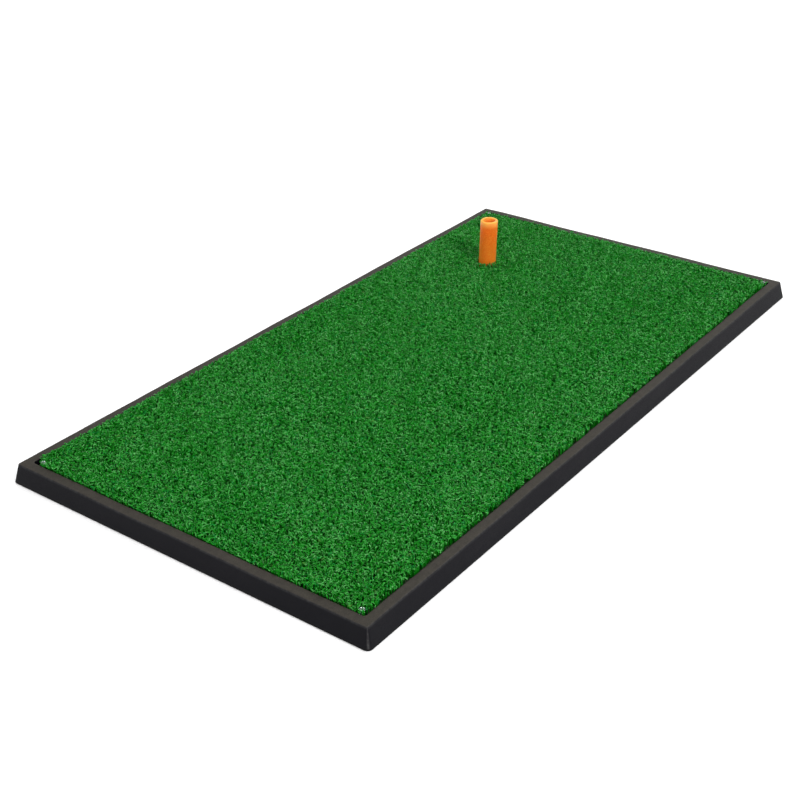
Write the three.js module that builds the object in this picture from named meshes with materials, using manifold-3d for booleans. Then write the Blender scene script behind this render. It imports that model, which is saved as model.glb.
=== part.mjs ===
// Golf hitting mat. A moulded rubber tray holds a foam pad and a panel of short turf. Four push rivets pin
// the turf at its corners, and a soft rubber tee stands up through a hole from below, held by its foot.
// Millimetres. The origin is the centre of the footprint on the floor, X runs along the mat and Z is up.
import * as THREE from "three";
import { mergeVertices } from "three/addons/utils/BufferGeometryUtils.js";
import Module from "manifold-3d";

// Tray
const LENGTH = 610; // footprint on the floor
const WIDTH = 325;
const RIM_HEIGHT = 15.2;
const DRAFT = 3.5; // how far each outer wall leans in on its way up
const RIM_WIDTH = 8;
const FOOT_CORNER_RADIUS = 4; // of the outer corners at the floor
const RIM_CORNER_RADIUS = 1.5; // and at the rim, where they are sharper
const EDGE_RADIUS = 1; // outer edge of the rim
const TOE = 0.8; // bevel of the outer wall's foot
const DECK_TOP = 5.6;
const RECESS_RADIUS = 2;

// Shallow pockets under the deck, which leave a grid of gripping ribs
const POCKET_COLUMNS = 12;
const POCKET_ROWS = 6;
const POCKET_PITCH_X = 46;
const POCKET_PITCH_Y = 45;
const RIB_WIDTH = 6;
const POCKET_DEPTH = 2;

// Layers on the deck, from the bottom up
const PANEL_GAP = 0.3; // between a layer's edge and the tray's inner wall
const PAD_THICKNESS = 3;
const LATEX_THICKNESS = 1;
const CLOTH_THICKNESS = 0.6;
const PILE_TOP = 18;

// Tee
const TEE_X = 188.5;
const TEE_Y = 82;
const TEE_TOP = 57;
const TEE_RADIUS = 7.9;
const TEE_BORE = 5.6;
const TEE_LIP = 0.9; // rounding of the open end
const FOOT_RADIUS = 22;
const FOOT_BOTTOM = 0.6;
const FOOT_THICKNESS = 2.4;
const FOOT_SEAT = 3.2; // underside of the deck over the tee's foot
const SEAT_BORDER = 4; // least solid rubber round that seat
const FLEX_Z = 25; // height at which the tee bends
const STEM_TOP = 19.2;
const RUN_GAP = 0.3; // clearance round a piece that moves

// Corner rivets
// From the rim's outer edges at its top, in the order of CORNERS. The rivets are set by hand.
const RIVET_INSETS = [[12, 12], [11.7, 15], [11.7, 13.2], [12, 11.7]];
const SHANK_RADIUS = 1.5;
const SHANK_BORE = 0.9;
const HEAD_RADIUS = 2.2;
const HEAD_BOTTOM = 15.6;
const HEAD_THICKNESS = 0.9;
const PIN_RADIUS = 0.6;
const PIN_BOTTOM = 0.7;
const PIN_TOP = 14.8;
const FLARE_RADIUS = 2.5;
const FLARE_BOTTOM = 1;
const FLARE_TOP = 2.1;
const RIVET_SEAT_RADIUS = 3.2;
const RIVET_SEAT = 2.4;

const CORNER_STEPS = 6;
const LIP_STEPS = 3;
const ROUND_SIDES = 40;
const SMALL_SIDES = 20;

const RECESS_INSET = DRAFT + RIM_WIDTH;
const POCKET_LENGTH = POCKET_PITCH_X - RIB_WIDTH;
const POCKET_WIDTH = POCKET_PITCH_Y - RIB_WIDTH;
const PAD_TOP = DECK_TOP + PAD_THICKNESS;
const LATEX_TOP = PAD_TOP + LATEX_THICKNESS;
const CLOTH_TOP = LATEX_TOP + CLOTH_THICKNESS;
const TEE_HOLE = TEE_RADIUS + RUN_GAP;
const QUARTER = Math.PI / 2;
const CORNERS = [[1, 1], [-1, 1], [-1, -1], [1, -1]]; // signs of X and Y, anticlockwise from above

const rubber = new THREE.MeshStandardMaterial({ color: 0x2e2c2b, roughness: 0.8 });
const foam = new THREE.MeshStandardMaterial({ color: 0x3a3b3e, roughness: 0.95 });
const latex = new THREE.MeshStandardMaterial({ color: 0x55534b, roughness: 0.9 });
const cloth = new THREE.MeshStandardMaterial({ color: 0x1c2a1c, roughness: 0.95 });
const turf = new THREE.MeshStandardMaterial({ color: 0x2a6c2c, roughness: 0.9 });
const orangeRubber = new THREE.MeshStandardMaterial({ color: 0xe0702c, roughness: 0.5 });
const nylon = new THREE.MeshStandardMaterial({ color: 0xd8dcd6, roughness: 0.3 });

const wasm = await Module();
wasm.setup();

// A closed geometry as a solid that can be joined and cut.
function solidOf(geometry) {
  const bare = geometry.clone();
  bare.deleteAttribute("normal");
  bare.deleteAttribute("uv");
  const merged = mergeVertices(bare, 1e-4);
  return new wasm.Manifold(
    new wasm.Mesh({
      numProp: 3,
      vertProperties: merged.attributes.position.array,
      triVerts: new Uint32Array(merged.index.array),
    }),
  );
}

function geometryOf(solid) {
  const { vertProperties, triVerts } = solid.getMesh();
  const geometry = new THREE.BufferGeometry();
  geometry.setAttribute("position", new THREE.BufferAttribute(vertProperties, 3));
  geometry.setIndex(new THREE.BufferAttribute(triVerts, 1));
  geometry.computeVertexNormals();
  return geometry;
}

function cut(solid, tools) {
  return tools.reduce((rest, tool) => rest.subtract(tool), solid);
}

// The footprint's rounded rectangle, drawn in by an inset on all sides.
function outline(inset, radius) {
  return CORNERS.flatMap(([sideX, sideY], quarter) => {
    const x = sideX * (LENGTH / 2 - inset - radius);
    const y = sideY * (WIDTH / 2 - inset - radius);
    return Array.from({ length: CORNER_STEPS + 1 }, (_, step) => {
      const angle = (quarter + step / CORNER_STEPS) * QUARTER;
      return new THREE.Vector2(x + radius * Math.cos(angle), y + radius * Math.sin(angle));
    });
  });
}

function slab(points, bottom, top) {
  const geometry = new THREE.ExtrudeGeometry(new THREE.Shape(points), {
    depth: top - bottom,
    bevelEnabled: false,
  });
  return solidOf(geometry.translate(0, 0, bottom));
}

function disc(radius, bottom, top, x, y, sides) {
  const geometry = new THREE.CylinderGeometry(radius, radius, top - bottom, sides);
  geometry.rotateX(QUARTER);
  return solidOf(geometry.translate(x, y, (bottom + top) / 2));
}

// A body of revolution about Z. The profile holds [radius, height] pairs.
function turned(profile, sides) {
  const points = profile.map(([radius, height]) => new THREE.Vector2(radius, height));
  return new THREE.LatheGeometry(points, sides).rotateX(QUARTER);
}

// A convex body through a stack of outlines, each with the same number of points.
function loft(levels) {
  const count = levels[0].points.length;
  const vertices = levels.flatMap(({ points, z }) => points.flatMap((p) => [p.x, p.y, z]));
  const last = (levels.length - 1) * count;
  const index = [];
  for (let k = 1; k < count - 1; k++) {
    index.push(0, k + 1, k);
    index.push(last, last + k, last + k + 1);
  }
  for (let ring = 0; ring < last; ring += count) {
    for (let k = 0; k < count; k++) {
      const next = (k + 1) % count;
      index.push(ring + k, ring + next, ring + count + next);
      index.push(ring + k, ring + count + next, ring + count + k);
    }
  }
  const geometry = new THREE.BufferGeometry();
  geometry.setAttribute("position", new THREE.Float32BufferAttribute(vertices, 3));
  geometry.setIndex(index);
  return solidOf(geometry);
}

function level(inset, radius, z) {
  return { points: outline(inset, radius), z };
}

// The tray's outside: a small bevel at the floor, the leaning wall and the rounded rim edge.
function trayShell() {
  const levels = [
    level(TOE, FOOT_CORNER_RADIUS - TOE, 0),
    level(0, FOOT_CORNER_RADIUS, TOE),
  ];
  for (let step = 0; step <= LIP_STEPS; step++) {
    const angle = (step / LIP_STEPS) * QUARTER;
    const drawnIn = EDGE_RADIUS * (1 - Math.cos(angle));
    const z = RIM_HEIGHT - EDGE_RADIUS * (1 - Math.sin(angle));
    levels.push(level(DRAFT + drawnIn, RIM_CORNER_RADIUS - drawnIn, z));
  }
  return loft(levels);
}

// The rubber stays solid where a pocket would come near the seat of the tee's foot.
function nearFootSeat(x, y) {
  const reachX = FOOT_RADIUS + SEAT_BORDER + POCKET_LENGTH / 2;
  const reachY = FOOT_RADIUS + SEAT_BORDER + POCKET_WIDTH / 2;
  return Math.abs(x - TEE_X) < reachX && Math.abs(y - TEE_Y) < reachY;
}

function underPockets() {
  const pockets = [];
  for (let column = 0; column < POCKET_COLUMNS; column++) {
    for (let row = 0; row < POCKET_ROWS; row++) {
      const x = (column - (POCKET_COLUMNS - 1) / 2) * POCKET_PITCH_X;
      const y = (row - (POCKET_ROWS - 1) / 2) * POCKET_PITCH_Y;
      if (nearFootSeat(x, y)) continue;
      const pocket = new THREE.BoxGeometry(POCKET_LENGTH, POCKET_WIDTH, 2 * POCKET_DEPTH);
      pockets.push(solidOf(pocket.translate(x, y, 0)));
    }
  }
  return pockets;
}

const rivetSpots = CORNERS.map(([sideX, sideY], corner) => {
  const [insetX, insetY] = RIVET_INSETS[corner];
  return {
    x: sideX * (LENGTH / 2 - DRAFT - insetX),
    y: sideY * (WIDTH / 2 - DRAFT - insetY),
  };
});

// The same round hole at every rivet.
function rivetHoles(radius, bottom, top) {
  return rivetSpots.map(({ x, y }) => disc(radius, bottom, top, x, y, SMALL_SIDES));
}

function teeHole(radius, bottom, top) {
  return disc(radius, bottom, top, TEE_X, TEE_Y, ROUND_SIDES);
}

function baseTray() {
  const recess = slab(outline(RECESS_INSET, RECESS_RADIUS), DECK_TOP, RIM_HEIGHT + 1);
  const solid = cut(trayShell(), [
    recess,
    ...underPockets(),
    teeHole(FOOT_RADIUS + RUN_GAP, -1, FOOT_SEAT),
    teeHole(TEE_HOLE, -1, DECK_TOP + 1),
    ...rivetHoles(RIVET_SEAT_RADIUS, -1, RIVET_SEAT),
    ...rivetHoles(SHANK_RADIUS + RUN_GAP, -1, DECK_TOP + 1),
  ]);
  return geometryOf(solid);
}

// One flat layer of the stack on the deck, with its tee hole and rivet holes.
function panel(bottom, top) {
  const inset = RECESS_INSET + PANEL_GAP;
  return cut(slab(outline(inset, RECESS_RADIUS - PANEL_GAP), bottom, top), [
    teeHole(TEE_HOLE, bottom - 1, top + 1),
    ...rivetHoles(SHANK_RADIUS + RUN_GAP, bottom - 1, top + 1),
  ]);
}

// The pile is one block with the fibres' outer shape, pressed down under each rivet head.
function turfPile() {
  const dents = rivetHoles(HEAD_RADIUS + RUN_GAP, HEAD_BOTTOM, PILE_TOP + 1);
  return geometryOf(cut(panel(CLOTH_TOP, PILE_TOP), dents));
}

// Radius and height of a point on a sphere about the flex point, at an angle below the horizontal.
function onBall(radius, angle) {
  return [radius * Math.cos(angle), FLEX_Z - radius * Math.sin(angle)];
}

// The tee's flange and the stem below the flex point, which ends in a cup round the tube's ball.
function teeFoot() {
  const cup = TEE_RADIUS + RUN_GAP;
  const seatAngle = Math.asin((FLEX_Z - STEM_TOP) / cup);
  const boreAngle = Math.acos(TEE_BORE / cup);
  const flangeTop = FOOT_BOTTOM + FOOT_THICKNESS;
  return turned(
    [
      [TEE_BORE, FOOT_BOTTOM],
      [FOOT_RADIUS, FOOT_BOTTOM],
      [FOOT_RADIUS, flangeTop - 1],
      [FOOT_RADIUS - 1, flangeTop],
      [TEE_RADIUS, flangeTop],
      [TEE_RADIUS, STEM_TOP],
      onBall(cup, seatAngle),
      onBall(cup, boreAngle),
      [TEE_BORE, FOOT_BOTTOM],
    ],
    ROUND_SIDES,
  );
}

// The tube above the flex point, with a ball end below and a rounded lip above.
function teeTube() {
  const boreAngle = Math.acos(TEE_BORE / TEE_RADIUS);
  const profile = [];
  for (let step = 0; step <= LIP_STEPS; step++) {
    profile.push(onBall(TEE_RADIUS, boreAngle * (1 - step / LIP_STEPS)));
  }
  for (let step = 0; step <= LIP_STEPS; step++) {
    const angle = (step / LIP_STEPS) * QUARTER;
    profile.push([
      TEE_RADIUS - TEE_LIP * (1 - Math.cos(angle)),
      TEE_TOP - TEE_LIP * (1 - Math.sin(angle)),
    ]);
  }
  profile.push([TEE_BORE + TEE_LIP / 2, TEE_TOP]);
  profile.push([TEE_BORE, TEE_TOP - TEE_LIP / 2]);
  profile.push(profile[0]);
  return turned(profile, ROUND_SIDES);
}

// A hollow push rivet: flared legs under the deck, shank, and a low round head on the turf.
function rivetBody() {
  const headTop = HEAD_BOTTOM + HEAD_THICKNESS;
  return turned(
    [
      [SHANK_BORE, FLARE_BOTTOM],
      [SHANK_RADIUS, FLARE_BOTTOM],
      [FLARE_RADIUS, FLARE_TOP - 0.4],
      [FLARE_RADIUS, FLARE_TOP],
      [SHANK_RADIUS, FLARE_TOP],
      [SHANK_RADIUS, HEAD_BOTTOM],
      [HEAD_RADIUS, HEAD_BOTTOM],
      [HEAD_RADIUS, headTop - 0.4],
      [HEAD_RADIUS - 0.5, headTop],
      [SHANK_BORE + 0.3, headTop],
      [SHANK_BORE, headTop - 0.3],
      [SHANK_BORE, FLARE_BOTTOM],
    ],
    SMALL_SIDES,
  );
}

// The pin that was driven into the rivet to spread its legs.
function rivetPin() {
  return turned(
    [
      [0, PIN_BOTTOM],
      [PIN_RADIUS / 2, PIN_BOTTOM],
      [PIN_RADIUS, PIN_BOTTOM + PIN_RADIUS],
      [PIN_RADIUS, PIN_TOP - 0.3],
      [PIN_RADIUS - 0.3, PIN_TOP],
      [0, PIN_TOP],
    ],
    SMALL_SIDES,
  );
}

function place(group, name, geometry, material, x = 0, y = 0) {
  const mesh = new THREE.Mesh(geometry, material);
  mesh.name = name;
  mesh.position.set(x, y, 0);
  group.add(mesh);
}

const mat = new THREE.Group();
place(mat, "base_tray", baseTray(), rubber);
place(mat, "shock_pad", geometryOf(panel(DECK_TOP, PAD_TOP)), foam);
place(mat, "latex_backing", geometryOf(panel(PAD_TOP, LATEX_TOP)), latex);
place(mat, "turf_cloth", geometryOf(panel(LATEX_TOP, CLOTH_TOP)), cloth);
place(mat, "turf_pile", turfPile(), turf);
place(mat, "tee_foot", teeFoot(), orangeRubber, TEE_X, TEE_Y);
place(mat, "tee_tube", teeTube(), orangeRubber, TEE_X, TEE_Y);
rivetSpots.forEach(({ x, y }, corner) => {
  place(mat, `corner_rivet_${corner + 1}`, rivetBody(), nylon, x, y);
  place(mat, `rivet_pin_${corner + 1}`, rivetPin(), nylon, x, y);
});

export default mat;
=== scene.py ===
"""A golf hitting mat: curly green turf on a foam pad in a moulded rubber tray, with clear push rivets at the
turf's corners and a soft orange rubber tee. Everything is in metres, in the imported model's own frame."""

import math

import bpy
import numpy as np
from mathutils import Matrix, Vector, noise
from mathutils.geometry import delaunay_2d_cdt


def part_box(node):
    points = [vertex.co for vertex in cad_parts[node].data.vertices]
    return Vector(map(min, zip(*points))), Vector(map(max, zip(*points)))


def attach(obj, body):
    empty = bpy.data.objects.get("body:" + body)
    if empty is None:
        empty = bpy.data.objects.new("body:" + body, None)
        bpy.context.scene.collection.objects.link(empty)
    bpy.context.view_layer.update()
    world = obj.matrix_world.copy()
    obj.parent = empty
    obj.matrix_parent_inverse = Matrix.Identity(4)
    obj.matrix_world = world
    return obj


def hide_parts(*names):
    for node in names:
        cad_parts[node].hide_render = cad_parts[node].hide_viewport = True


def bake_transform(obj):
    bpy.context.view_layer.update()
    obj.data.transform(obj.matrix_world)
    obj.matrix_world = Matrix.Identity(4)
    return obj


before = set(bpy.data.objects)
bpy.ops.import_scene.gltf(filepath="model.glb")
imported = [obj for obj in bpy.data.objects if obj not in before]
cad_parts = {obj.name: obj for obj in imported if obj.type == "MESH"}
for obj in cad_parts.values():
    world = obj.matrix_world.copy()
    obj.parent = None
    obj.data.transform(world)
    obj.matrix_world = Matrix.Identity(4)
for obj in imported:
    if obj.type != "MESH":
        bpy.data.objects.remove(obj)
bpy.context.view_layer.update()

MM = 0.001
SEED = 20

# Camera, aimed at a point on the floor
CAMERA_AZIMUTH = math.radians(-52.67)
CAMERA_ELEVATION = math.radians(29.31)
CAMERA_ROLL = math.radians(-1.06)
CAMERA_DISTANCE = 1.0872
CAMERA_TARGET = Vector((-0.0474, 0.0072, 0))
CAMERA_LENS = 61.88

# Tray, beyond what the CAD boxes say
DRAFT = 3.5 * MM
RIM_WIDTH = 8 * MM
FOOT_CORNER = 4 * MM
RIM_CORNER = 1.5 * MM
RECESS_CORNER = 2 * MM
EDGE_ROUND = 1 * MM
TOE_ROUND = 0.8 * MM
INNER_ROUND = 0.6 * MM
DECK_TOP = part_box("shock_pad")[0].z
POCKET_COLUMNS = 12
POCKET_ROWS = 6
POCKET_PITCH = Vector((46 * MM, 45 * MM))
RIB_WIDTH = 6 * MM
POCKET_DEPTH = 2 * MM
POCKET_CORNER = 4 * MM
FOOT_SEAT_Z = 3.2 * MM
SEAT_BORDER = 4 * MM
RUN_GAP = 0.3 * MM
RIVET_SEAT_RADIUS = 3.2 * MM
RIVET_SEAT_Z = 2.4 * MM
# Strengths of the painted highlight on the rim's outer top edge and down the middle of the outer corners
TOP_EDGE_HIGHLIGHT = 0.45
CORNER_EDGE_HIGHLIGHT = 0.65

# Tee
TEE_BORE = 5.6 * MM
TEE_LIP = 1 * MM
FLANGE_THICKNESS = 2.4 * MM
TEE_LEAN = Vector((0.9 * MM, -1.1 * MM, 0))

# Rivets
SHANK_RADIUS = 1.5 * MM
SHANK_BORE = 0.9 * MM
HEAD_THICKNESS = 0.9 * MM
PIN_RADIUS = 0.6 * MM
RIVET_HEAD = 2.2 * MM

# Turf
TUFT_ROW = 3.4 * MM
TUFT_STITCH = 2.3 * MM
BLADES_PER_TUFT = 6
BLADE_STEPS = np.array([0, 0.45, 0.65, 0.83, 1])
BLADE_POINTS = len(BLADE_STEPS)
BEND_AT = 0.38
SHORTEST_STRETCH = 0.03 * MM
FRONT_GAP = 1.9 * MM
END_GAP = 1.2 * MM
CORNER_TRIM = 9.2 * MM
FAR_DROP = 1.3 * MM
NEAR_DROP = 0.6 * MM
DROP_REACH = 2.5 * MM
GAP_FADE = 25 * MM
TURN_IN_FRONT = 4 * MM
TURN_IN_END = 3 * MM
TURNED_IN = 0.7
TUFT_SCATTER = 0.8 * MM
CRIMP_ASIDE = 0.5 * MM
CRIMP_UP = 0.4 * MM
# Painted shade and highlight along each blade, in steps of blade colour: darker at the root, palest at the
# crest
ROOT_SHADE_CREST_HIGHLIGHT = np.array([-2, -0.3, 0.7, 0.4])
TILES_LONG = 4
TILES_WIDE = 2

# Ranges that each blade's sizes are drawn from, in millimetres
BLADE_REACH = (1.4, 3.8)
BLADE_DROOP = (-0.1, 1.3)
BLADE_HALF_WIDTH = (0.31, 0.43)

# Layers under the pile
LAYER_CORNER = 1.5 * MM
PAD_EDGE = 0.4 * MM
LATEX_EDGE = 0.15 * MM
CLOTH_EDGE = 0.1 * MM

# Stage
FLOOR_HALF = 12
FLOOR_DROP = 0.3 * MM

# Mesh edges that turn by more than this look sharp
SHARP_ANGLE = math.radians(38)

tray_low, tray_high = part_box("base_tray")
pad_low, pad_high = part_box("shock_pad")
latex_low, latex_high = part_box("latex_backing")
cloth_low, cloth_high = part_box("turf_cloth")
pile_low, pile_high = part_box("turf_pile")
foot_low, foot_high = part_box("tee_foot")
tube_low, tube_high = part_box("tee_tube")
tee = (tube_low + tube_high) / 2
TEE_RADIUS = (tube_high.x - tube_low.x) / 2
TEE_HOLE = TEE_RADIUS + RUN_GAP
FOOT_RADIUS = (foot_high.x - foot_low.x) / 2
RIVET_NODES = [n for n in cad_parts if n.startswith("corner_rivet")]
PIN_NODES = [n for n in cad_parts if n.startswith("rivet_pin")]
RIVETS = [(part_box(n)[0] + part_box(n)[1]) / 2 for n in RIVET_NODES]
RECESS = tray_high.xy - Vector((DRAFT + RIM_WIDTH, DRAFT + RIM_WIDTH))


# ---------------------------------------------------------------- mesh helpers


class Shell:
    """One closed mesh, built ring by ring. Rings run anticlockwise seen from above. A band faces out where
    the section goes up the outside, and in where it goes down the inside of a hole."""

    def __init__(self):
        self.vertices = []
        self.faces = []

    def ring(self, points, z):
        first = len(self.vertices)
        self.vertices += [(x, y, z) for x, y in points]
        return list(range(first, len(self.vertices)))

    def band(self, one, other):
        count = len(one)
        for k in range(count):
            n = (k + 1) % count
            self.faces.append((one[k], one[n], other[n], other[k]))

    def stack(self, rings):
        for one, other in zip(rings, rings[1:]):
            self.band(one, other)

    def cap(self, ring, up):
        self.faces.append(tuple(ring) if up else tuple(reversed(ring)))

    def plain(self, outer, holes, up):
        """A flat face between an outer ring and its holes, which are convex."""
        order = [*outer, *(v for hole in holes for v in hole)]
        flat = [Vector(self.vertices[v][:2]) for v in order]
        edges = []
        owner = []
        start = 0
        for number, ring in enumerate([outer, *holes]):
            count = len(ring)
            edges += [(start + k, start + (k + 1) % count) for k in range(count)]
            owner += [number] * count
            start += count
        points, _, triangles, sources, _, _ = delaunay_2d_cdt(flat, edges, [], 1, 1e-7, True)
        source = [s[0] for s in sources]
        for triangle in triangles:
            corners = [source[k] for k in triangle]
            owners = {owner[c] for c in corners}
            if len(owners) == 1 and owners != {0}:
                continue
            face = [order[c] for c in corners]
            self.faces.append(tuple(face if up else reversed(face)))

    def build(self, name, material):
        mesh = bpy.data.meshes.new(name)
        mesh.from_pydata(self.vertices, [], self.faces)
        mesh.materials.append(material)
        mesh.validate()
        mesh.shade_smooth()
        mesh.set_sharp_from_angle(angle=SHARP_ANGLE)
        return link(name, mesh)


def link(name, mesh):
    piece = bpy.data.objects.new(name, mesh)
    bpy.context.scene.collection.objects.link(piece)
    return piece


def rounded_rectangle(half, radius, arc, spacing, centre=(0, 0), base=None):
    """Points of a rounded rectangle. Its straight sides have as many points as base, another half size, has
    at that spacing, so rings of different sizes match."""
    base = base or half
    steps = [max(1, round(2 * base[k] / spacing)) for k in range(2)]
    points = []
    for quarter, (sx, sy) in enumerate([(1, 1), (-1, 1), (-1, -1), (1, -1)]):
        corner = Vector((sx * (half[0] - radius), sy * (half[1] - radius)))
        for step in range(arc + 1):
            angle = (quarter + step / arc) * math.pi / 2
            points.append(corner + radius * Vector((math.cos(angle), math.sin(angle))))
        along = quarter % 2
        run = Vector((0, 0))
        run[along] = -(sx, sy)[along] * 2 * (half[along] - radius)
        start = points[-1]
        points += [start + run * k / steps[along] for k in range(1, steps[along])]
    return [p + Vector(centre) for p in points]


def circle(radius, centre, sides):
    x, y = centre[0], centre[1]
    turn = 2 * math.pi / sides
    return [Vector((x + radius * math.cos(turn * k), y + radius * math.sin(turn * k))) for k in range(sides)]


def arc_points(centre, radius, start, end, steps):
    """Points on an arc in a section, as (across, height). Angles are in degrees from straight outward."""
    angles = [math.radians(start + (end - start) * k / steps) for k in range(steps + 1)]
    return [(centre[0] + radius * math.cos(a), centre[1] + radius * math.sin(a)) for a in angles]


def turned(shell, profile, centre, sides, closed=True):
    """A body of revolution whose profile of (radius, height) goes up its outside. closed joins the profile's
    end to its start."""
    rings = [shell.ring(circle(r, centre, sides), z) for r, z in profile]
    shell.stack(rings)
    if closed:
        shell.band(rings[-1], rings[0])
    return rings


# ---------------------------------------------------------------- material helpers


class Paint:
    """A Principled material and short ways to feed it."""

    def __init__(self, name, color, roughness, **sockets):
        self.material = bpy.data.materials.new(name)
        self.material.use_nodes = True
        self.nodes = self.material.node_tree.nodes
        self.links = self.material.node_tree.links
        self.shader = self.nodes["Principled BSDF"]
        self.shader.inputs["Base Color"].default_value = (*color, 1)
        self.shader.inputs["Roughness"].default_value = roughness
        for socket, value in sockets.items():
            self.shader.inputs[socket.replace("_", " ")].default_value = value
        self.place = None

    def node(self, kind, inputs=None, **settings):
        node = self.nodes.new(kind)
        for key, value in settings.items():
            setattr(node, key, value)
        for socket, value in (inputs or {}).items():
            if isinstance(value, bpy.types.NodeSocket):
                self.links.new(value, node.inputs[socket])
            else:
                node.inputs[socket].default_value = value
        return node

    def where(self):
        if self.place is None:
            self.place = self.node("ShaderNodeTexCoord").outputs["Object"]
        return self.place

    def noise(self, size, detail=3, roughness=0.55, stretch=(1, 1, 1)):
        """Noise with features of about this size, in metres."""
        where = self.node("ShaderNodeMapping", {"Vector": self.where(), "Scale": stretch}).outputs[0]
        inputs = {"Vector": where, "Scale": 1 / size, "Detail": detail, "Roughness": roughness}
        return self.node("ShaderNodeTexNoise", inputs).outputs["Fac"]

    def spread(self, value, low, high, to_low=0.0, to_high=1.0):
        inputs = {"Value": value, "From Min": low, "From Max": high, "To Min": to_low, "To Max": to_high}
        return self.node("ShaderNodeMapRange", inputs, interpolation_type="SMOOTHSTEP").outputs["Result"]

    def mix(self, factor, one, other):
        node = self.node("ShaderNodeMix", data_type="RGBA")
        for socket, value in ((node.inputs[0], factor), (node.inputs[6], one), (node.inputs[7], other)):
            if isinstance(value, bpy.types.NodeSocket):
                self.links.new(value, socket)
            elif isinstance(value, tuple):
                socket.default_value = (*value, 1)
            else:
                socket.default_value = value
        return node.outputs[2]

    def math(self, operation, one, other):
        node = self.node("ShaderNodeMath", operation=operation)
        for socket, value in ((node.inputs[0], one), (node.inputs[1], other)):
            if isinstance(value, bpy.types.NodeSocket):
                self.links.new(value, socket)
            else:
                socket.default_value = value
        return node.outputs[0]

    def feed(self, socket, value):
        self.links.new(value, self.shader.inputs[socket])

    def bump(self, height, distance, strength, below=None):
        inputs = {"Height": height, "Distance": distance, "Strength": strength}
        if below is not None:
            inputs["Normal"] = below
        return self.node("ShaderNodeBump", inputs).outputs["Normal"]


def base_rubber():
    """Recycled black rubber, speckled. What faces up is brownish and paler, partly from a dusted surface and
    partly painted light on the top faces; the rim's outer edge and the corners get a painted highlight, and
    the foot a painted contact shade.
    """
    paint = Paint(
        "base_rubber",
        (0.006, 0.006, 0.008),
        0.62,
        Specular_IOR_Level=0.1,
        Sheen_Weight=0.02,
        Sheen_Roughness=0.4,
    )
    speckle = paint.spread(paint.noise(0.9 * MM, 4, 0.7), 0.42, 0.7)
    cloud = paint.spread(paint.noise(35 * MM, 3), 0.35, 0.68)
    facing = paint.node("ShaderNodeNewGeometry").outputs["Normal"]
    upward = paint.node("ShaderNodeSeparateXYZ", {"Vector": facing}).outputs["Z"]
    # Upward faces are brownish and paler: partly a dusted surface, partly painted light on the top faces
    top_dust_and_light = paint.spread(upward, 0.55, 0.98)
    top_dust_and_light = paint.math("MULTIPLY", top_dust_and_light, paint.spread(paint.noise(5 * MM, 5, 0.6), 0.25, 0.75, 0.72, 1.0))
    dark = paint.mix(speckle, (0.0012, 0.0012, 0.0028), (0.0042, 0.004, 0.0066))
    dark = paint.mix(cloud, dark, (0.0028, 0.0026, 0.0046))
    top_dust_and_light_color = paint.mix(speckle, (0.036, 0.0318, 0.0252), (0.059, 0.0522, 0.0415))
    color = paint.mix(top_dust_and_light, dark, top_dust_and_light_color)
    # Painted highlight: paler along the rim's outer top edge and down the outer corners, broken up by noise
    edge_highlight_mask = paint.node("ShaderNodeAttribute", attribute_name="painted_edge_highlight").outputs["Fac"]
    edge_highlight_mask = paint.math("MULTIPLY", edge_highlight_mask, paint.spread(paint.noise(2.5 * MM, 4, 0.65), 0.3, 0.7, 0.35, 1.0))
    color = paint.mix(edge_highlight_mask, color, (0.075, 0.073, 0.074))
    height = paint.node("ShaderNodeSeparateXYZ", {"Vector": paint.where()}).outputs["Z"]
    # Painted contact shade: near black below 0.9 mm, fading out by 2.4 mm, where the wall meets the floor
    color = paint.mix(paint.spread(height, 0.9 * MM, 2.4 * MM), (0.0015, 0.0015, 0.002), color)
    paint.feed("Base Color", color)
    paint.feed("Roughness", paint.spread(speckle, 0, 1, 0.55, 0.7))
    coarse = paint.bump(paint.noise(6 * MM, 3), 0.25 * MM, 0.35)
    fine = paint.bump(paint.noise(0.8 * MM, 4, 0.7), 0.09 * MM, 0.6, coarse)
    paint.feed("Normal", fine)
    return paint.material


def tee_rubber():
    """Soft orange rubber: translucent, faintly mottled, dusted and matt, with a painted highlight at the lip.
    Its pattern is laid out on the unbent tee, so that it bends with the rubber."""
    paint = Paint(
        "tee_rubber",
        (0.9, 0.22, 0.022),
        0.45,
        Subsurface_Weight=0.7,
        Subsurface_Radius=(1.0, 0.35, 0.08),
        Subsurface_Scale=14 * MM,
        Specular_IOR_Level=0.22,
    )
    paint.place = paint.node("ShaderNodeAttribute", attribute_name="rest_place").outputs["Vector"]
    cloud = paint.spread(paint.noise(7 * MM, 4, 0.6), 0.3, 0.7)
    grain = paint.spread(paint.noise(1.1 * MM, 3, 0.65), 0.42, 0.68)
    height = paint.node("ShaderNodeSeparateXYZ", {"Vector": paint.where()}).outputs["Z"]
    # Painted highlight: pale yellow-orange from 49.5 mm up to the lip
    lip_highlight = paint.spread(height, 49.5 * MM, 56.5 * MM)
    color = paint.mix(cloud, (0.84, 0.13, 0.004), (0.92, 0.16, 0.006))
    color = paint.mix(paint.spread(height, 44 * MM, 20 * MM), color, (1.0, 0.175, 0.01))
    color = paint.mix(lip_highlight, color, (1.0, 0.42, 0.085))
    color = paint.mix(paint.math("MULTIPLY", grain, 0.5), color, (1.0, 0.3, 0.035))
    scuff = paint.spread(paint.noise(2.2 * MM, 5, 0.7, (1, 1, 0.35)), 0.66, 0.78, 0.0, 0.3)
    color = paint.mix(scuff, color, (0.6, 0.15, 0.03))
    paint.feed("Base Color", color)
    paint.feed("Roughness", paint.spread(cloud, 0, 1, 0.4, 0.52))
    soft = paint.bump(paint.noise(3 * MM, 3), 0.12 * MM, 0.4)
    paint.feed("Normal", paint.bump(paint.noise(0.5 * MM, 3, 0.6), 0.03 * MM, 0.5, soft))
    return paint.material


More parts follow.
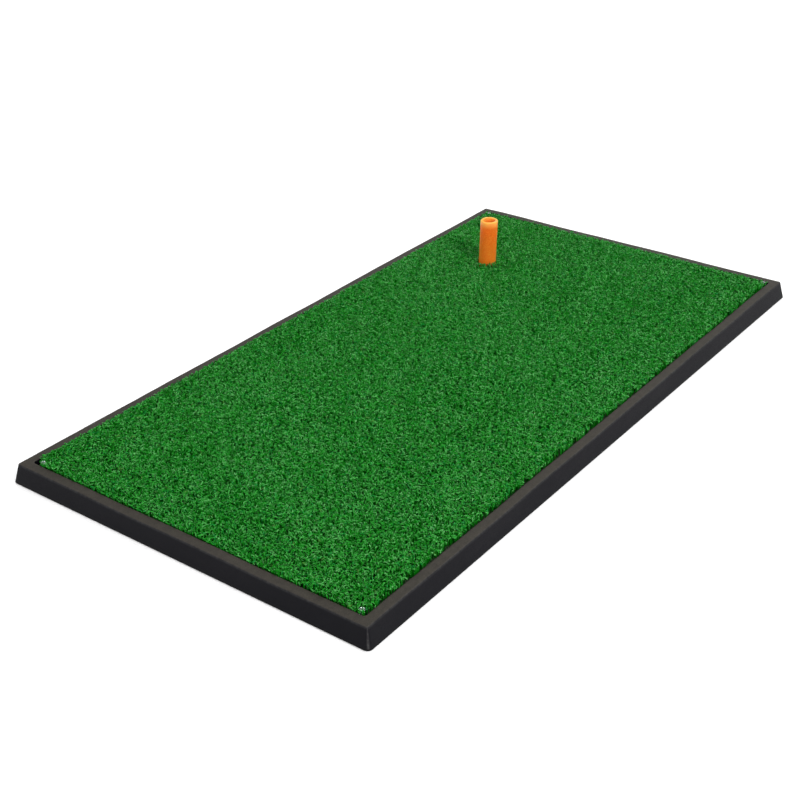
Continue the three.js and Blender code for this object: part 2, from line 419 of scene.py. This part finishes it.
def clear_nylon():
    """Clear nylon, a little cloudy from moulding, with a painted green tint standing in for the turf seen
    through it.
    """
    paint = Paint("clear_nylon", (0.8, 0.93, 0.87), 0.12, IOR=1.53, Transmission_Weight=0.88)
    haze = paint.spread(paint.noise(0.6 * MM, 3), 0.3, 0.7)
    # Painted green: a pale green tint for the turf seen through the nylon, varied in patches by the haze
    paint.feed("Base Color", paint.mix(haze, (0.5, 0.76, 0.62), (0.8, 0.93, 0.87)))
    paint.feed("Normal", paint.bump(paint.noise(0.45 * MM, 2), 0.03 * MM, 0.4))
    return paint.material


def pad_foam():
    """Closed-cell foam: a fine skin of cells over a dark grey sheet."""
    paint = Paint("pad_foam", (0.035, 0.036, 0.04), 0.85)
    where = paint.where()
    cells = paint.node("ShaderNodeTexVoronoi", {"Vector": where, "Scale": 1 / (1.1 * MM)}).outputs["Distance"]
    tone = paint.spread(paint.noise(12 * MM, 3), 0.3, 0.7)
    color = paint.mix(tone, (0.028, 0.029, 0.032), (0.045, 0.046, 0.05))
    paint.feed("Base Color", paint.mix(paint.spread(cells, 0.2, 0.6), color, (0.02, 0.02, 0.023)))
    paint.feed("Normal", paint.bump(cells, 0.2 * MM, 0.6))
    return paint.material


def latex_coat():
    """Poured latex: dull grey-brown, puddled and pitted."""
    paint = Paint("latex", (0.09, 0.085, 0.07), 0.75)
    puddle = paint.spread(paint.noise(9 * MM, 4, 0.6), 0.35, 0.65)
    paint.feed("Base Color", paint.mix(puddle, (0.07, 0.066, 0.054), (0.12, 0.113, 0.095)))
    paint.feed("Roughness", paint.spread(puddle, 0, 1, 0.6, 0.85))
    paint.feed("Normal", paint.bump(paint.noise(1.6 * MM, 4, 0.65), 0.2 * MM, 0.6))
    return paint.material


def woven_cloth():
    """Slit-tape weave of dark green polypropylene, over and under, with darker gaps."""
    paint = Paint("woven_cloth", (0.055, 0.09, 0.044), 0.6)
    tape = 1.3 * MM
    checks = {"Vector": paint.where(), "Scale": 1 / tape}
    check = paint.node("ShaderNodeTexChecker", checks).outputs["Fac"]
    tone = paint.spread(paint.noise(1.2 * MM, 3), 0.3, 0.7)
    one = paint.mix(tone, (0.05, 0.085, 0.04), (0.08, 0.13, 0.062))
    paint.feed("Base Color", paint.mix(check, one, (0.036, 0.058, 0.03)))
    paint.feed("Normal", paint.bump(paint.noise(0.7 * MM, 3), 0.1 * MM, 0.6))
    return paint.material


# Blade colours, from the darkest green to the palest, then the two rare ones: a bluish green and an olive.
# Besides the fibres' own spread of tone, the darkest stand in for painted shade among the roots and the
# palest for painted highlights on the crests
BLADE_GREENS = [
    (0.001, 0.150, 0.002),
    (0.002, 0.185, 0.003),
    (0.008, 0.228, 0.011),
    (0.022, 0.270, 0.026),
    (0.049, 0.318, 0.054),
    (0.088, 0.370, 0.091),
    (0.006, 0.220, 0.030),
    (0.060, 0.220, 0.030),
]
RARE_FIRST = 6
BLUISH_SHARE = 0.06
OLIVE_FROM = 0.992


def turf_fibres():
    """One material for each blade colour, all with the dull shine of drawn polypropylene tape. The darkest
    and palest are in part painted shade and painted highlight.
    """
    return [
        Paint(
            f"turf_fibre_{k + 1}",
            color,
            0.45,
            Specular_IOR_Level=0.11,
        ).material
        for k, color in enumerate(BLADE_GREENS)
    ]


# ---------------------------------------------------------------- tray


def tray_section():
    """The tray's outer section as (inset from the footprint, height), from the underside over the rim and
    down to the deck."""
    lean = math.degrees(math.atan2(DRAFT, tray_high.z))
    toe = [(TOE_ROUND - x, z) for x, z in arc_points((0, TOE_ROUND), TOE_ROUND, -90, lean, 5)]
    across = DRAFT + EDGE_ROUND
    up = tray_high.z - EDGE_ROUND
    edge = [(across - x, z) for x, z in arc_points((0, up), EDGE_ROUND, lean, 90, 6)]
    inner = DRAFT + RIM_WIDTH
    inside = [
        (inner - INNER_ROUND - x, z)
        for x, z in arc_points((0, tray_high.z - INNER_ROUND), INNER_ROUND, 90, 180, 4)
    ]
    rise = Vector(edge[0]) - Vector(toe[-1])
    wall = [tuple(Vector(toe[-1]) + rise * share) for share in (0.08, 0.3, 0.5, 0.7, 0.92)]
    outer_end, inner_end = edge[-1][0], inside[0][0]
    top = [(outer_end + (inner_end - outer_end) * share, tray_high.z) for share in (0.1, 0.35, 0.65, 0.92)]
    down = [(inner, tray_high.z - INNER_ROUND - 0.5 * MM), (inner, DECK_TOP + 2 * MM), (inner, DECK_TOP)]
    under = [(3.2 * MM, 0), (1.2 * MM, 0)]
    return under + toe + wall + edge + top + inside + down


def corner_radius(inset, z):
    """Outer corners are round at the floor and sharper at the rim, and the recess has its own."""
    if inset >= DRAFT + EDGE_ROUND:
        share = (inset - DRAFT - EDGE_ROUND) / (RIM_WIDTH - EDGE_ROUND)
        start = RIM_CORNER - EDGE_ROUND
        return start + (RECESS_CORNER - start) * min(1, share)
    round_at = FOOT_CORNER + (RIM_CORNER - FOOT_CORNER) * z / tray_high.z
    return round_at - max(0, inset - DRAFT * z / tray_high.z)


def pocket_places():
    reach = [FOOT_RADIUS + SEAT_BORDER + (POCKET_PITCH[k] - RIB_WIDTH) / 2 for k in range(2)]
    for column in range(POCKET_COLUMNS):
        for row in range(POCKET_ROWS):
            x = (column - (POCKET_COLUMNS - 1) / 2) * POCKET_PITCH.x
            y = (row - (POCKET_ROWS - 1) / 2) * POCKET_PITCH.y
            if abs(x - tee.x) >= reach[0] or abs(y - tee.y) >= reach[1]:
                yield x, y


def press_pocket(shell, x, y):
    """A pocket with rounded edges in the underside. Returns the ring round its mouth."""
    half = [(POCKET_PITCH[k] - RIB_WIDTH) / 2 for k in range(2)]
    round_in, round_out = 0.7 * MM, 0.4 * MM
    quarter = [math.radians(a) for a in (0, 30, 60, 90)]
    section = [(-round_in - 1.5 * MM, POCKET_DEPTH)]
    section += [
        (-round_in + round_in * math.sin(a), POCKET_DEPTH - round_in + round_in * math.cos(a))
        for a in quarter
    ]
    section += [(round_out - round_out * math.cos(a), round_out - round_out * math.sin(a)) for a in quarter]
    section.append((round_out + 0.4 * MM, 0))
    rings = []
    for out, z in section:
        size = (half[0] + out, half[1] + out)
        radius = max(POCKET_CORNER + out, 1 * MM)
        rings.append(shell.ring(rounded_rectangle(size, radius, 4, 1, (x, y)), z))
    shell.stack(rings)
    shell.cap(rings[0], up=False)
    return rings[-1]


def bore_through(shell, centre, sides, neck, seat, seat_z):
    """A hole through the deck that widens to a seat in the underside. Returns its top and bottom rings."""
    edge = 0.3 * MM
    section = [
        (neck + edge, DECK_TOP),
        (neck, DECK_TOP - edge),
        (neck, seat_z + edge),
        (neck + edge, seat_z),
        (seat - edge, seat_z),
        (seat, seat_z - edge),
        (seat, edge),
        (seat + edge, 0),
        (seat + 2 * edge, 0),
    ]
    rings = turned(shell, section, centre, sides, closed=False)
    return rings[0], rings[-1]


def wander(point, size, strength):
    """A slow random offset that depends only on place."""
    return noise.noise_vector(Vector(point) / size) * strength


def make_tray():
    shell = Shell()
    base = (tray_high.x, tray_high.y)
    rings = []
    edge_highlight_strengths = []
    for inset, z in tray_section():
        half = (tray_high.x - inset, tray_high.y - inset)
        radius = corner_radius(inset, z)
        points = rounded_rectangle(half, radius, 10, 5 * MM, base=base)
        rings.append(shell.ring(points, z))
        # Painted highlight, strongest on the rim's outer top edge and down the middle of each outer corner
        near_top = max(0, 1 - abs(inset - DRAFT - 0.3 * MM) / (0.8 * MM)) if z > tray_high.z - 1.5 * MM else 0
        for point in points:
            angle = math.atan2(abs(point.y) - half[1] + radius, abs(point.x) - half[0] + radius)
            turning = 0 < angle < math.pi / 2 and inset < DRAFT + EDGE_ROUND
            on_corner = max(0, math.sin(2 * angle)) ** 10 if turning else 0
            edge_highlight_strengths.append(max(TOP_EDGE_HIGHLIGHT * near_top, CORNER_EDGE_HIGHLIGHT * on_corner))
    shell.stack(rings)
    mouths = [press_pocket(shell, x, y) for x, y in pocket_places()]
    tee_rings = bore_through(shell, tee, 72, TEE_HOLE, FOOT_RADIUS + RUN_GAP, FOOT_SEAT_Z)
    neck = SHANK_RADIUS + RUN_GAP
    rivet_rings = [bore_through(shell, r, 32, neck, RIVET_SEAT_RADIUS, RIVET_SEAT_Z) for r in RIVETS]
    shell.plain(rings[-1], [tee_rings[0], *(r[0] for r in rivet_rings)], up=True)
    shell.plain(rings[0], [*mouths, tee_rings[1], *(r[1] for r in rivet_rings)], up=False)
    soften(shell, len(edge_highlight_strengths))
    tray = shell.build("rubber_tray", base_rubber())
    attribute = tray.data.attributes.new("painted_edge_highlight", "FLOAT", "POINT")
    attribute.data.foreach_set("value", edge_highlight_strengths + [0.0] * (len(shell.vertices) - len(edge_highlight_strengths)))
    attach(tray, "mat")
    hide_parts("base_tray")


def soften(shell, count):
    """The rim of a rubber moulding is never quite straight: it wanders by a fraction of a millimetre."""
    low, high = DECK_TOP + 0.5 * MM, tray_high.z * 0.8
    for k in range(count):
        point = Vector(shell.vertices[k])
        share = min(1, max(0, (point.z - low) / (high - low)))
        slow = share * wander(point, 75 * MM, 0.55 * MM)
        quick = share * wander(point, 16 * MM, 0.12 * MM)
        shell.vertices[k] = tuple(point + slow + quick)


# ---------------------------------------------------------------- layers under the pile


def make_layer(name, low, high, material, corner, edge):
    """A flat sheet with rounded edges, the tee's hole and the rivets' holes."""
    shell = Shell()
    section = [(2 * edge, low.z)]
    section += [(edge - x, z) for x, z in arc_points((0, low.z + edge), edge, -90, 0, 3)]
    section += [(edge - x, z) for x, z in arc_points((0, high.z - edge), edge, 0, 90, 3)]
    section.append((2 * edge, high.z))
    base = (high.x, high.y)
    rings = [
        shell.ring(rounded_rectangle((high.x - i, high.y - i), corner + edge - i, 5, 8 * MM, base=base), z)
        for i, z in section
    ]
    shell.stack(rings)
    holes = [(tee, TEE_HOLE, 64)] + [(r, SHANK_RADIUS + RUN_GAP, 24) for r in RIVETS]
    tops, bottoms = [], []
    for centre, radius, sides in holes:
        walls = turned(shell, [(radius, high.z), (radius, low.z)], centre, sides, closed=False)
        tops.append(walls[0])
        bottoms.append(walls[1])
    shell.plain(rings[-1], tops, up=True)
    shell.plain(rings[0], bottoms, up=False)
    layer = shell.build(name, material)
    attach(layer, "mat")
    return layer


# ---------------------------------------------------------------- tee


def make_tee():
    """The tee as the one moulding that it is: a flange, a tube and a rounded lip, open right through."""
    base = foot_low.z
    flange = base + FLANGE_THICKNESS
    fillet = 0.9 * MM
    outside = [(TEE_BORE + 0.4 * MM, base), (FOOT_RADIUS - 0.4 * MM, base)]
    outside += arc_points((FOOT_RADIUS - 0.5 * MM, base + 0.5 * MM), 0.5 * MM, -60, 0, 2)
    outside += arc_points((FOOT_RADIUS - 0.9 * MM, flange - 0.9 * MM), 0.9 * MM, 0, 90, 4)
    outside += [
        (TEE_RADIUS + fillet - fillet * math.sin(a), flange + fillet - fillet * math.cos(a))
        for a in (0, math.pi / 6, math.pi / 3, math.pi / 2)
    ]
    straight_end = tube_high.z - TEE_LIP - 0.6 * MM
    rise = [z for z in (flange + fillet + k * MM for k in range(1, 100)) if z < straight_end]
    outside += [(TEE_RADIUS, z) for z in rise]
    outside += arc_points((TEE_RADIUS - TEE_LIP, tube_high.z - TEE_LIP), TEE_LIP, 0, 90, 5)
    inside = arc_points((TEE_BORE + 0.7 * MM, tube_high.z - 0.7 * MM), 0.7 * MM, 90, 180, 4)
    inside += [(TEE_BORE, z) for z in reversed(rise)]
    inside += [(TEE_BORE, base + 0.4 * MM)]
    shell = Shell()
    turned(shell, outside + inside, tee, 72)
    piece = shell.build("rubber_tee", tee_rubber())
    for vertex in piece.data.vertices:
        share = min(1, max(0, (vertex.co.z - pile_low.z) / (tube_high.z - pile_low.z)))
        drift = wander(vertex.co, 14 * MM, 0.16 * MM) + TEE_LEAN
        drift.z = 0
        vertex.co += drift * share
    rest = piece.data.attributes.new("rest_place", "FLOAT_VECTOR", "POINT")
    rest.data.foreach_set("vector", [c for vertex in piece.data.vertices for c in vertex.co])
    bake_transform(piece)
    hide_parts("tee_foot", "tee_tube")


# ---------------------------------------------------------------- rivets


def make_rivet(node, pin_node, material):
    """A hollow push rivet with a domed head and flared legs, and the pin that was driven into it."""
    low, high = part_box(node)
    pin_low, pin_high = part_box(pin_node)
    centre = (low + high) / 2
    flare = (high.x - low.x) / 2
    head = RIVET_HEAD
    under_head = high.z - HEAD_THICKNESS
    bevel = 0.3 * MM
    brim = 0.15 * MM
    outside = [
        (SHANK_BORE + 0.15 * MM, low.z),
        (SHANK_RADIUS, low.z + 0.05 * MM),
        (flare - 0.1 * MM, low.z + 0.6 * MM),
        (flare, low.z + 0.8 * MM),
        (flare - 0.1 * MM, low.z + 1.05 * MM),
        (SHANK_RADIUS + 0.1 * MM, low.z + 1.1 * MM),
        (SHANK_RADIUS, low.z + 1.3 * MM),
        (SHANK_RADIUS, under_head - 0.2 * MM),
        (SHANK_RADIUS + 0.1 * MM, under_head),
        (head - 0.1 * MM, under_head),
        (head, under_head + 0.1 * MM),
    ]
    dome = [
        (
            SHANK_BORE + bevel + (head - SHANK_BORE - bevel) * math.cos(a),
            under_head + brim + (HEAD_THICKNESS - brim) * math.sin(a),
        )
        for a in np.linspace(0.15, math.pi / 2, 6)
    ]
    inside = [(SHANK_BORE, high.z - bevel), (SHANK_BORE, high.z - 1 * MM), (SHANK_BORE, low.z + 0.15 * MM)]
    shell = Shell()
    turned(shell, outside + dome + inside, centre, 40)
    body = shell.build(node.replace("corner_rivet", "nylon_rivet"), material)
    pin = Shell()
    profile = [
        (0.3 * MM, pin_low.z),
        (PIN_RADIUS * 0.8, pin_low.z + 0.4 * MM),
        (PIN_RADIUS, pin_low.z + 0.9 * MM),
        (PIN_RADIUS, pin_high.z - 0.35 * MM),
        (PIN_RADIUS * 0.85, pin_high.z - 0.12 * MM),
        (PIN_RADIUS * 0.5, pin_high.z),
    ]
    rings = turned(pin, profile, centre, 24, closed=False)
    pin.cap(rings[0], up=False)
    pin.cap(rings[-1], up=True)
    shaft = pin.build(pin_node.replace("rivet_pin", "nylon_pin"), material)
    for piece, replaced in ((body, node), (shaft, pin_node)):
        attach(piece, "mat")
        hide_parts(replaced)


# ---------------------------------------------------------------- turf


def tuft_grid(rng):
    """Where each blade is rooted: rows of stitches, a few blades to a tuft, all a little out of place."""
    across = np.arange(-pile_high.y + TUFT_ROW / 2, pile_high.y, TUFT_ROW)
    along = np.arange(-pile_high.x + TUFT_STITCH / 2, pile_high.x, TUFT_STITCH)
    x, y = np.meshgrid(along, across)
    roots = np.stack([x.ravel(), y.ravel()], 1).repeat(BLADES_PER_TUFT, 0)
    roots += rng.normal(0, TUFT_SCATTER, roots.shape)
    limit = np.array([pile_high.x, pile_high.y]) - 0.5 * MM
    roots = np.clip(roots, -limit, limit)
    from_tee = np.hypot(*(roots - np.array(tee.xy)).T)
    keep = from_tee > TEE_HOLE + 0.2 * MM
    for rivet in RIVETS:
        keep &= np.hypot(*(roots - np.array(rivet.xy)).T) > SHANK_RADIUS + 0.5 * MM
    corner = (RECESS.x + roots[:, 0]) + (RECESS.y - roots[:, 1])
    ragged = FRONT_GAP * (1 + slow_noise(roots, (9 * MM, 22 * MM), rng))
    ragged *= np.clip((RECESS.x - roots[:, 0]) / GAP_FADE, 0, 1)
    keep &= (corner > CORNER_TRIM) & (RECESS.y + roots[:, 1] > ragged) & (RECESS.x - roots[:, 0] > END_GAP)
    return roots[keep]


def slow_noise(points, sizes, rng):
    """A smooth random height of about -1 to 1 at each point: waves of each size in random directions."""
    total = np.zeros(len(points))
    for size in sizes:
        for _ in range(5):
            heading = rng.uniform(0, 2 * math.pi)
            pitch = 2 * math.pi / (size * rng.uniform(0.7, 1.4))
            wave = pitch * np.array([math.cos(heading), math.sin(heading)])
            total += np.sin(points @ wave + rng.uniform(0, 2 * math.pi))
    return total / (5 * len(sizes)) ** 0.5 / 1.5


def blade_paths(roots, rng):
    """The centre line of each blade: it climbs out of its tuft, then lies over in a short crimped stroke."""
    count = len(roots)
    t = BLADE_STEPS[None, :]
    lying = np.clip((t - BEND_AT) / (1 - BEND_AT), 0, 1)
    heading = rng.uniform(0, 2 * math.pi, (count, 1))
    inward = (RECESS.y + roots[:, 1:] < TURN_IN_FRONT) & (rng.uniform(0, 1, (count, 1)) < TURNED_IN)
    heading = np.where(inward, heading / 2, heading)
    inward = (RECESS.x - roots[:, :1] < TURN_IN_END) & (rng.uniform(0, 1, (count, 1)) < TURNED_IN)
    heading = np.where(inward, (heading + math.pi) / 2, heading)
    reach = rng.uniform(*BLADE_REACH, (count, 1)) * MM
    bend = rng.normal(0, 0.9, (count, 1))
    height = (pile_high.z - pile_low.z) * rng.uniform(0.66, 1.0, (count, 1)) ** 0.8
    height += slow_noise(roots, (40 * MM, 120 * MM), rng)[:, None] * 0.25 * MM
    for drop, side in ((FAR_DROP, 1), (NEAR_DROP, -1)):
        from_edge = np.min(np.array(RECESS) - side * roots, axis=1)[:, None]
        height -= drop * np.exp(-from_edge / DROP_REACH)
    droop = rng.uniform(*BLADE_DROOP, (count, 1)) * MM
    z = pile_low.z + height * np.sin(np.minimum(1, t / 0.66) * math.pi / 2) ** 0.8 - droop * lying**2
    z += CRIMP_UP * np.sin(2 * math.pi * (1.1 * lying + rng.uniform(0, 1, (count, 1)))) * lying
    turn = heading + bend * lying
    crimp = CRIMP_ASIDE * np.sin(2 * math.pi * (0.9 * lying + rng.uniform(0, 1, (count, 1)))) * lying
    lean = rng.uniform(0.1, 0.35, (count, 1))
    run = reach * (lean * t + (1 - lean) * lying)
    x = roots[:, :1] + run * np.cos(turn) - crimp * np.sin(turn)
    y = roots[:, 1:] + run * np.sin(turn) + crimp * np.cos(turn)
    return np.stack([x, y, z], 2)


def keep_clear(path, half_width):
    """Keeps blades inside the recess below the rim's top, off the tee, and off the rivets."""
    x, y, z = path[..., 0], path[..., 1], path[..., 2]
    spill = np.clip((z - tray_high.z - 0.5 * MM) * 1.2, 0, 0.8 * MM)
    for values, limit in ((x, RECESS.x), (y, RECESS.y)):
        room = limit - half_width - 0.4 * MM + spill
        np.clip(values, -room, room, out=values)
    posts = [(tee, TEE_RADIUS + 0.1 * MM + half_width)]
    posts += [(rivet, RIVET_HEAD + half_width * 0.6) for rivet in RIVETS]
    for centre, radius in posts:
        dx, dy = x - centre.x, y - centre.y
        away = np.hypot(dx, dy)
        push = np.where(away < radius, radius / np.maximum(away, 0.05 * MM), 1)
        x[:] = centre.x + dx * push
        y[:] = centre.y + dy * push
    return path


def ribbons(path, rng):
    """Gives each centre line the width of a flat tape that twists along its length."""
    count = len(path)
    width = rng.uniform(*BLADE_HALF_WIDTH, (count, 1)) * MM * np.linspace(1, 0.9, BLADE_POINTS)[None, :]
    path = keep_clear(path, 0.5 * MM)
    tangent = np.gradient(path, axis=1)
    tangent /= np.linalg.norm(tangent, axis=2, keepdims=True) + 1e-12
    level = np.cross(tangent, np.array([0.0, 0.0, 1.0]))
    level /= np.linalg.norm(level, axis=2, keepdims=True) + 1e-12
    steep = np.cross(level, tangent)
    twist = rng.uniform(-0.8, 0.8, (count, 1)) + rng.normal(0, 0.8, (count, 1)) * BLADE_STEPS[None, :]
    side = level * np.cos(twist)[..., None] + steep * np.sin(twist)[..., None]
    side *= width[..., None]
    return path - side, path + side


def sound_blades(left, right):
    """Which blades kept some width and length everywhere when they were pushed clear of things."""
    sound = np.linalg.norm(right - left, axis=2).min(1) > SHORTEST_STRETCH
    for edge in (left, right):
        sound &= np.linalg.norm(np.diff(edge, axis=1), axis=2).min(1) > SHORTEST_STRETCH
    return sound


def shade_numbers(roots, path, rng):
    """Which blade colour each stretch of each blade has: painted shade at the root and a painted highlight
    near the crest, with slow patches over the mat."""
    tip = (path[:, -1, 2] - pile_low.z) / (pile_high.z - pile_low.z)
    patch = slow_noise(roots, (25 * MM, 80 * MM, 200 * MM), rng)
    lightness = 2.6 + 0.4 * patch - 1.2 * (tip - 0.75) + rng.normal(0, 1.25, len(roots))
    # Painted shade at the root and painted highlight at the crest, in steps along each blade
    lightness = lightness[:, None] + ROOT_SHADE_CREST_HIGHLIGHT + rng.normal(0, 0.45, (len(roots), BLADE_POINTS - 1))
    shade = np.clip(np.round(lightness), 0, RARE_FIRST - 1).astype(int)
    odd = rng.uniform(0, 1, len(roots))
    shade[odd < BLUISH_SHARE] = RARE_FIRST
    shade[odd > OLIVE_FROM] = RARE_FIRST + 1
    return shade


def make_turf():
    rng = np.random.default_rng(SEED)
    roots = tuft_grid(rng)
    path = blade_paths(roots, rng)
    left, right = ribbons(path, rng)
    shade = shade_numbers(roots, path, rng)
    sound = sound_blades(left, right)
    materials = turf_fibres()
    column = np.clip(((roots[:, 0] / pile_high.x + 1) / 2 * TILES_LONG).astype(int), 0, TILES_LONG - 1)
    row = np.clip(((roots[:, 1] / pile_high.y + 1) / 2 * TILES_WIDE).astype(int), 0, TILES_WIDE - 1)
    tile = column * TILES_WIDE + row
    pieces = []
    for number in range(TILES_LONG * TILES_WIDE):
        chosen = (tile == number) & sound
        piece = turf_tile(f"turf_pile_{number + 1}", left[chosen], right[chosen], shade[chosen], materials)
        pieces.append(piece)
    return pieces


def turf_tile(name, left, right, shade, materials):
    """One mesh of all the ribbons rooted in one part of the mat."""
    count = len(left)
    points = np.stack([left, right], 2).reshape(-1, 3)
    first = (np.arange(count) * BLADE_POINTS * 2)[:, None] + np.arange(BLADE_POINTS - 1)[None, :] * 2
    quads = np.stack([first, first + 1, first + 3, first + 2], 2).reshape(-1, 4)
    mesh = bpy.data.meshes.new(name)
    mesh.vertices.add(len(points))
    mesh.vertices.foreach_set("co", points.astype(np.float32).ravel())
    mesh.loops.add(quads.size)
    mesh.loops.foreach_set("vertex_index", quads.astype(np.int32).ravel())
    mesh.polygons.add(len(quads))
    mesh.polygons.foreach_set("loop_start", np.arange(0, quads.size, 4, dtype=np.int32))
    mesh.polygons.foreach_set("material_index", shade.ravel().astype(np.int32))
    for material in materials:
        mesh.materials.append(material)
    mesh.update(calc_edges=True)
    mesh.shade_smooth()
    tile = link(name, mesh)
    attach(tile, "mat")
    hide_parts("turf_pile")
    return tile


# ---------------------------------------------------------------- stage


def make_camera():
    a, e, r = CAMERA_AZIMUTH, CAMERA_ELEVATION, CAMERA_ROLL
    back = Vector((math.sin(a) * math.cos(e), -math.cos(a) * math.cos(e), math.sin(e)))
    level = Vector((0, 0, 1)).cross(back).normalized()
    upright = back.cross(level)
    right = level * math.cos(r) + upright * math.sin(r)
    up = upright * math.cos(r) - level * math.sin(r)
    data = bpy.data.cameras.new("camera")
    data.lens = CAMERA_LENS
    data.sensor_width = 36
    data.clip_end = 50
    camera = bpy.data.objects.new("camera", data)
    turn = Matrix((right, up, back)).transposed().to_4x4()
    camera.matrix_world = Matrix.Translation(CAMERA_TARGET + back * CAMERA_DISTANCE) @ turn
    bpy.context.scene.collection.objects.link(camera)
    bpy.context.scene.camera = camera


def make_floor():
    """Pale paper, lit from below so that it stays white out to the horizon, away from the lamps."""
    mesh = bpy.data.meshes.new("floor")
    corners = [(sx * FLOOR_HALF, sy * FLOOR_HALF) for sx, sy in ((-1, -1), (1, -1), (1, 1), (-1, 1))]
    mesh.from_pydata([(x, y, -FLOOR_DROP) for x, y in corners], [], [(0, 1, 2, 3)])
    paint = Paint(
        "floor_paper",
        (0.88, 0.88, 0.88),
        0.9,
        Specular_IOR_Level=0.1,
        Emission_Color=(1, 1, 1, 1),
    )
    away = paint.node("ShaderNodeVectorMath", {0: paint.where()}, operation="LENGTH").outputs["Value"]
    paint.feed("Emission Strength", paint.spread(away, 0.6, 3, 0.26, 0.8))
    mesh.materials.append(paint.material)
    floor = link("floor", mesh)


def softbox(name, size, power, place, target=(0, 0, 0)):
    data = bpy.data.lights.new(name, "AREA")
    data.shape = "RECTANGLE"
    data.size, data.size_y = size
    data.energy = power
    lamp = bpy.data.objects.new(name, data)
    lamp.location = place
    lamp.rotation_euler = (Vector(place) - Vector(target)).to_track_quat("Z", "Y").to_euler()
    bpy.context.scene.collection.objects.link(lamp)


def make_light():
    softbox("overhead", (3.4, 3.4), 70, (1.5, 0.45, 2.35), (0.45, 0.1, 0))
    softbox("key", (1.0, 0.8), 50, (-0.6, -2.25, 1.9))
    softbox("fill", (1.6, 1.6), 15, (-2.3, -0.6, 1.3))
    make_surround()


def make_surround():
    """A white cove at the height of the horizon, dimmer overhead."""
    world = bpy.data.worlds.new("studio")
    world.use_nodes = True
    nodes, links = world.node_tree.nodes, world.node_tree.links
    heading = nodes.new("ShaderNodeTexCoord").outputs["Generated"]
    split = nodes.new("ShaderNodeSeparateXYZ")
    links.new(heading, split.inputs["Vector"])
    fade = nodes.new("ShaderNodeMapRange")
    fade.interpolation_type = "SMOOTHSTEP"
    for socket, value in (("From Min", 0.28), ("From Max", 0.6), ("To Min", 1.0), ("To Max", 0.16)):
        fade.inputs[socket].default_value = value
    links.new(split.outputs["Z"], fade.inputs["Value"])
    nodes["Background"].inputs["Color"].default_value = (1, 1, 1, 1)
    links.new(fade.outputs["Result"], nodes["Background"].inputs["Strength"])
    bpy.context.scene.world = world


# Without a seed, this noise starts from the clock and the tray and tee differ from run to run
noise.seed_set(SEED)
bpy.context.scene.view_settings.view_transform = "Standard"
make_camera()
make_floor()
make_light()
make_tray()
pad = make_layer("foam_pad", pad_low, pad_high, pad_foam(), LAYER_CORNER, PAD_EDGE)
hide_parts("shock_pad")
latex = make_layer("latex_coat", latex_low, latex_high, latex_coat(), LAYER_CORNER, LATEX_EDGE)
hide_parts("latex_backing")
tiles = make_turf()
weave = woven_cloth()
cloth = make_layer("primary_cloth", cloth_low, cloth_high, weave, LAYER_CORNER, CLOTH_EDGE)
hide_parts("turf_cloth")
make_tee()
nylon = clear_nylon()
for rivet_node, rivet_pin in zip(sorted(RIVET_NODES), sorted(PIN_NODES)):
    make_rivet(rivet_node, rivet_pin, nylon)
